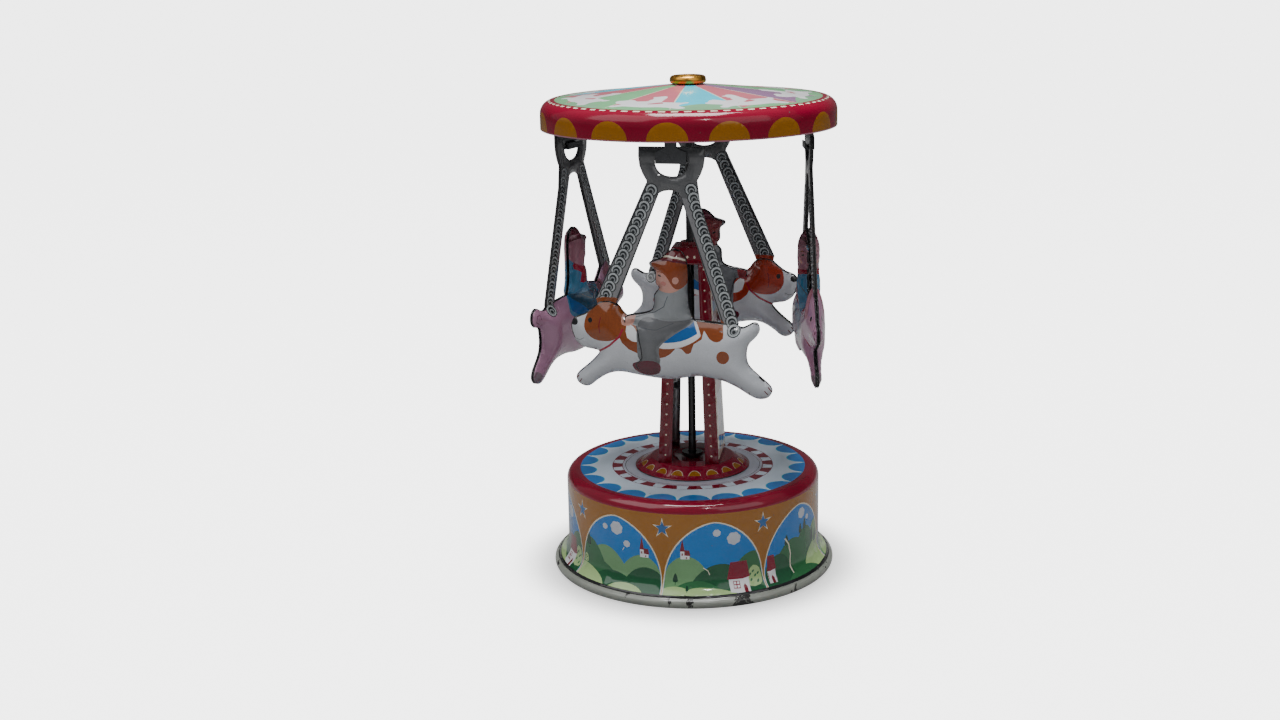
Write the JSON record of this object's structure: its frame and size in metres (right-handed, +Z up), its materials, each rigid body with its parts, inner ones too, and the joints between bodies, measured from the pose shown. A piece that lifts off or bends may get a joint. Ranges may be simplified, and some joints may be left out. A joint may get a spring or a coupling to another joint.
{
  "type": "wind up music box",
  "caption": "Tin wind-up carousel music box: round printed base with a spring movement, tower and shaft, dished canopy and animals with riders hanging from hooks.",
  "frame": {"origin": "centre of the flat underside of the base, on the shaft's axis", "axes": "+Z up along the shaft, the front animal hangs towards -Y and the winding key is at +Y"},
  "size_m": [0.111, 0.1204, 0.1891],
  "materials": {
    "drum_print": "glossy lithographed tin",
    "rim_tin": "lacquered rolled tin, chipped",
    "bottom_board": "matt black",
    "tower_red": "glossy lithographed tin",
    "canopy_print": "glossy lithographed tin",
    "dog_print": "glossy lithographed tin",
    "pig_print": "glossy lithographed tin",
    "plain_tin": "bare tinplate",
    "black_steel": "blackened steel",
    "gold": "gold lacquer",
    "brass": "turned brass",
    "steel": "bright steel",
    "cast_metal": "rough cast"
  },
  "bodies": {
    "base": {"base_drum": "drum_print", "base_rim": "rim_tin", "bottom_plate": "bottom_board", "bed_spacer_1": "bottom_board", "bed_spacer_2": "bottom_board", "bed_spacer_3": "bottom_board", "bedplate": "cast_metal", "rear_plate": "cast_metal", "front_bearing": "cast_metal", "footstep_bearing": "brass", "comb_base": "cast_metal", "comb": "steel", "comb_screw_1": "steel", "comb_screw_2": "steel", "click": "steel", "tower_foot": "tower_red", "tower_left": "tower_red", "tower_right": "tower_red", "tower_cap": "tower_red", "upper_bush": "brass", "lower_bush": "black_steel", "key_bush": "brass"},
    "carousel": {"shaft": "black_steel", "shaft_pinion": "brass", "canopy": "canopy_print", "knob": "gold", "canopy_collar": "plain_tin", "spider": "plain_tin", "spider_collar": "plain_tin", "hook_front": "plain_tin", "hook_right": "plain_tin", "hook_rear": "plain_tin", "hook_left": "plain_tin"},
    "key": {"winding_key": "steel", "key_arbor": "steel", "ratchet_wheel": "steel"},
    "barrel": {"spring_barrel": "brass", "crown_wheel": "brass", "great_wheel": "brass", "mainspring": "steel"},
    "cylinder": {"music_cylinder": "brass", "cylinder_gear": "brass", "cylinder_arbor": "steel"},
    "governor": {"governor_pinion": "steel", "governor_fan": "steel", "governor_arbor": "steel"},
    "swing_front": {"dog_front_outer": "dog_print", "dog_front_inner": "dog_print"},
    "swing_right": {"pig_right_outer": "pig_print", "pig_right_inner": "pig_print"},
    "swing_rear": {"dog_rear_outer": "dog_print", "dog_rear_inner": "dog_print"},
    "swing_left": {"pig_left_outer": "pig_print", "pig_left_inner": "pig_print"}
  },
  "joints": [
    {"name": "carousel_spin", "type": "hinge", "parent": "base", "child": "carousel", "pos_m": [0, 0, 0.1], "axis": [0, 0, 1], "continuous": true},
    {"name": "key_wind", "type": "hinge", "parent": "base", "child": "key", "pos_m": [0, 0.03, 0.021], "axis": [0, 1, 0], "continuous": true},
    {"name": "barrel_spin", "type": "hinge", "parent": "base", "child": "barrel", "pos_m": [0, 0.015, 0.021], "axis": [0, 1, 0], "continuous": true},
    {"name": "cylinder_spin", "type": "hinge", "parent": "base", "child": "cylinder", "pos_m": [-0.02, 0, 0.021], "axis": [0, 1, 0], "continuous": true},
    {"name": "governor_spin", "type": "hinge", "parent": "base", "child": "governor", "pos_m": [-0.0255, 0.024, 0.03053], "axis": [0, 1, 0], "continuous": true},
    {"name": "swing_front_hinge", "type": "hinge", "parent": "carousel", "child": "swing_front", "pos_m": [0, -0.0447, 0.1634], "axis": [-0.9936, 0.1132, 0], "range_deg": [-2, 28]},
    {"name": "swing_right_hinge", "type": "hinge", "parent": "carousel", "child": "swing_right", "pos_m": [0.0447, 0, 0.1634], "axis": [0.1564, -0.9877, 0], "range_deg": [-2, 28]},
    {"name": "swing_rear_hinge", "type": "hinge", "parent": "carousel", "child": "swing_rear", "pos_m": [0, 0.0447, 0.1634], "axis": [0.9962, -0.0872, 0], "range_deg": [-2, 28]},
    {"name": "swing_left_hinge", "type": "hinge", "parent": "carousel", "child": "swing_left", "pos_m": [-0.0447, 0, 0.1634], "axis": [0.2924, 0.9563, 0], "range_deg": [-2, 28]}
  ],
  "couplings": [
    {"joint": "barrel_spin", "follows": "carousel_spin", "ratio": -0.33333},
    {"joint": "cylinder_spin", "follows": "carousel_spin", "ratio": 0.61905},
    {"joint": "governor_spin", "follows": "carousel_spin", "ratio": -1.0833}
  ]
}
